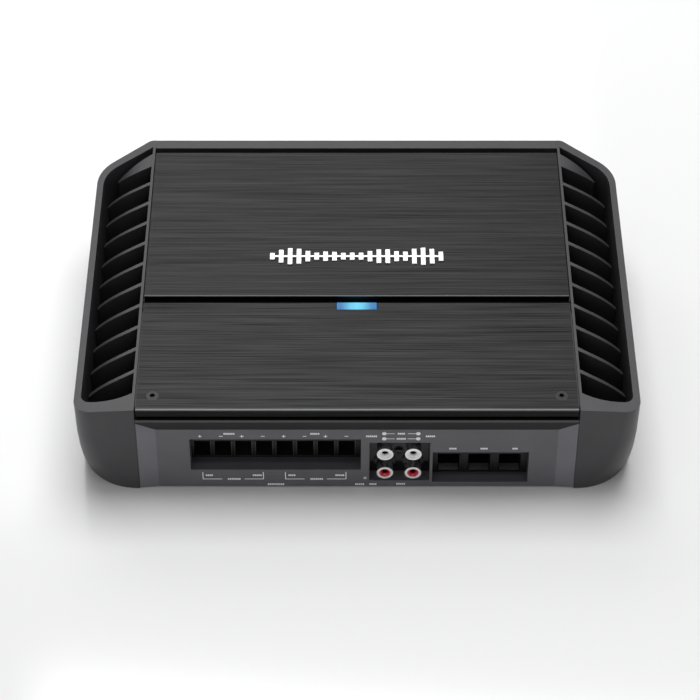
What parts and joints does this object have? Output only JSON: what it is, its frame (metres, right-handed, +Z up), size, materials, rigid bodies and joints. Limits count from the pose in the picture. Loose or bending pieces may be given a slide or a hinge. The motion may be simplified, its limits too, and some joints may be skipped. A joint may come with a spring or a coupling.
{
  "type": "car amplifier",
  "caption": "Low car amplifier with finned cast heatsinks at both sides, a brushed top with a removable control cover, screw terminals and RCA inputs.",
  "frame": {"origin": "centre of the footprint on the mounting surface", "axes": "+X right, +Y back, +Z up, with the wiring end towards -Y"},
  "size_m": [0.282, 0.21, 0.0602],
  "materials": {
    "cast_body": "fine satin powder coat on cast aluminium",
    "dark_sheet": "matt black coating on steel sheet",
    "zinc_steel": "zinc plated",
    "brushed_plate": "black anodised, brushed from side to side",
    "foam_pad": "soft foam",
    "emblem_metal": "satin silver white",
    "light_bar": "clear blue, glowing",
    "circuit_board": "solder mask",
    "black_steel": "black oxide",
    "dark_rail": "satin black",
    "wiring_panel": "satin, slightly violet grey",
    "indicator_lens": "clear",
    "black_plastic": "satin",
    "nickel_clamp": "nickel plated",
    "power_clamp": "nickel plated, serrated floor",
    "gloss_black_plastic": "gloss",
    "nickel_shell": "bright nickel",
    "white_plastic": "gloss",
    "red_plastic": "gloss",
    "contact_brass": "plated",
    "control_plastic": "fine texture",
    "pot_metal": "zinc plated",
    "wound_copper": "enamelled copper wire around a core",
    "capacitor_sleeve": "shrink sleeve",
    "silicone_pad": "silicone sheet",
    "terminal_screw": "nickel plated",
    "knob_plastic": "moulded"
  },
  "bodies": {
    "amplifier": {"left_heatsink": "cast_body", "right_heatsink": "cast_body", "rear_rail": "cast_body", "roof_deck": "dark_sheet", "bottom_plate": "dark_sheet", "base_screws": "zinc_steel", "deck_screws": "zinc_steel", "rear_top_plate": "brushed_plate", "plate_emblem": "emblem_metal", "plate_pads": "foam_pad", "light_lens": "light_bar", "light_board": "circuit_board", "front_rail": "dark_rail", "end_panel": "wiring_panel", "clip_indicator": "indicator_lens", "speaker_block": "black_plastic", "speaker_clamps": "nickel_clamp", "power_block": "black_plastic", "power_clamps": "power_clamp", "rca_block": "gloss_black_plastic", "rca_shells": "nickel_shell", "rca_rings_white": "white_plastic", "rca_rings_red": "red_plastic", "rca_contacts": "contact_brass", "rca_screw": "black_steel", "control_panel": "control_plastic", "control_board": "circuit_board", "board_link": "black_plastic", "potentiometers": "pot_metal", "switch_bodies": "pot_metal", "main_board": "circuit_board", "board_screws": "zinc_steel", "power_transformer": "wound_copper", "input_choke": "wound_copper", "output_chokes": "wound_copper", "storage_capacitors": "capacitor_sleeve", "power_transistors": "black_plastic", "transistor_pads": "silicone_pad", "transistor_clamps": "zinc_steel", "clamp_screws": "zinc_steel"},
    "cover": {"control_cover": "brushed_plate", "cover_screws": "black_steel"},
    "front_level_dial": {"front_level_knob": "knob_plastic"},
    "front_crossover_dial": {"front_crossover_knob": "knob_plastic"},
    "rear_level_dial": {"rear_level_knob": "knob_plastic"},
    "rear_crossover_dial": {"rear_crossover_knob": "knob_plastic"},
    "front_filter_switch": {"front_filter_slider": "white_plastic"},
    "rear_filter_switch": {"rear_filter_slider": "white_plastic"},
    "input_mode_switch": {"input_mode_slider": "white_plastic"},
    "speaker_clamp_screw_1": {"speaker_screw_1": "terminal_screw"},
    "speaker_clamp_screw_2": {"speaker_screw_2": "terminal_screw"},
    "speaker_clamp_screw_3": {"speaker_screw_3": "terminal_screw"},
    "speaker_clamp_screw_4": {"speaker_screw_4": "terminal_screw"},
    "speaker_clamp_screw_5": {"speaker_screw_5": "terminal_screw"},
    "speaker_clamp_screw_6": {"speaker_screw_6": "terminal_screw"},
    "speaker_clamp_screw_7": {"speaker_screw_7": "terminal_screw"},
    "speaker_clamp_screw_8": {"speaker_screw_8": "terminal_screw"},
    "power_clamp_screw_1": {"power_screw_1": "terminal_screw"},
    "power_clamp_screw_2": {"power_screw_2": "terminal_screw"},
    "power_clamp_screw_3": {"power_screw_3": "terminal_screw"}
  },
  "joints": [
    {"name": "cover_lift", "type": "slide", "parent": "amplifier", "child": "cover", "axis": [0, 0, 1], "range_m": [0, 0.06]},
    {"name": "front_level_turn", "type": "hinge", "parent": "amplifier", "child": "front_level_dial", "pos_m": [-0.084, -0.056, 0.0416], "axis": [0, 0, -1], "range_deg": [-140, 140]},
    {"name": "front_crossover_turn", "type": "hinge", "parent": "amplifier", "child": "front_crossover_dial", "pos_m": [-0.058, -0.056, 0.0416], "axis": [0, 0, -1], "range_deg": [-140, 140]},
    {"name": "rear_level_turn", "type": "hinge", "parent": "amplifier", "child": "rear_level_dial", "pos_m": [-0.02, -0.056, 0.0416], "axis": [0, 0, -1], "range_deg": [-140, 140]},
    {"name": "rear_crossover_turn", "type": "hinge", "parent": "amplifier", "child": "rear_crossover_dial", "pos_m": [0.006, -0.056, 0.0416], "axis": [0, 0, -1], "range_deg": [-140, 140]},
    {"name": "front_filter_slide", "type": "slide", "parent": "amplifier", "child": "front_filter_switch", "axis": [0, 1, 0], "range_m": [-0.002, 0.002]},
    {"name": "rear_filter_slide", "type": "slide", "parent": "amplifier", "child": "rear_filter_switch", "axis": [0, 1, 0], "range_m": [-0.002, 0.002]},
    {"name": "input_mode_slide", "type": "slide", "parent": "amplifier", "child": "input_mode_switch", "axis": [0, 1, 0], "range_m": [-0.002, 0.002]},
    {"name": "speaker_screw_travel_1", "type": "slide", "parent": "amplifier", "child": "speaker_clamp_screw_1", "axis": [0, 0, -1], "range_m": [0, 0.008]},
    {"name": "speaker_screw_travel_2", "type": "slide", "parent": "amplifier", "child": "speaker_clamp_screw_2", "axis": [0, 0, -1], "range_m": [0, 0.008]},
    {"name": "speaker_screw_travel_3", "type": "slide", "parent": "amplifier", "child": "speaker_clamp_screw_3", "axis": [0, 0, -1], "range_m": [0, 0.008]},
    {"name": "speaker_screw_travel_4", "type": "slide", "parent": "amplifier", "child": "speaker_clamp_screw_4", "axis": [0, 0, -1], "range_m": [0, 0.008]},
    {"name": "speaker_screw_travel_5", "type": "slide", "parent": "amplifier", "child": "speaker_clamp_screw_5", "axis": [0, 0, -1], "range_m": [0, 0.008]},
    {"name": "speaker_screw_travel_6", "type": "slide", "parent": "amplifier", "child": "speaker_clamp_screw_6", "axis": [0, 0, -1], "range_m": [0, 0.008]},
    {"name": "speaker_screw_travel_7", "type": "slide", "parent": "amplifier", "child": "speaker_clamp_screw_7", "axis": [0, 0, -1], "range_m": [0, 0.008]},
    {"name": "speaker_screw_travel_8", "type": "slide", "parent": "amplifier", "child": "speaker_clamp_screw_8", "axis": [0, 0, -1], "range_m": [0, 0.008]},
    {"name": "power_screw_travel_1", "type": "slide", "parent": "amplifier", "child": "power_clamp_screw_1", "axis": [0, 0, -1], "range_m": [0, 0.011]},
    {"name": "power_screw_travel_2", "type": "slide", "parent": "amplifier", "child": "power_clamp_screw_2", "axis": [0, 0, -1], "range_m": [0, 0.011]},
    {"name": "power_screw_travel_3", "type": "slide", "parent": "amplifier", "child": "power_clamp_screw_3", "axis": [0, 0, -1], "range_m": [0, 0.011]}
  ]
}
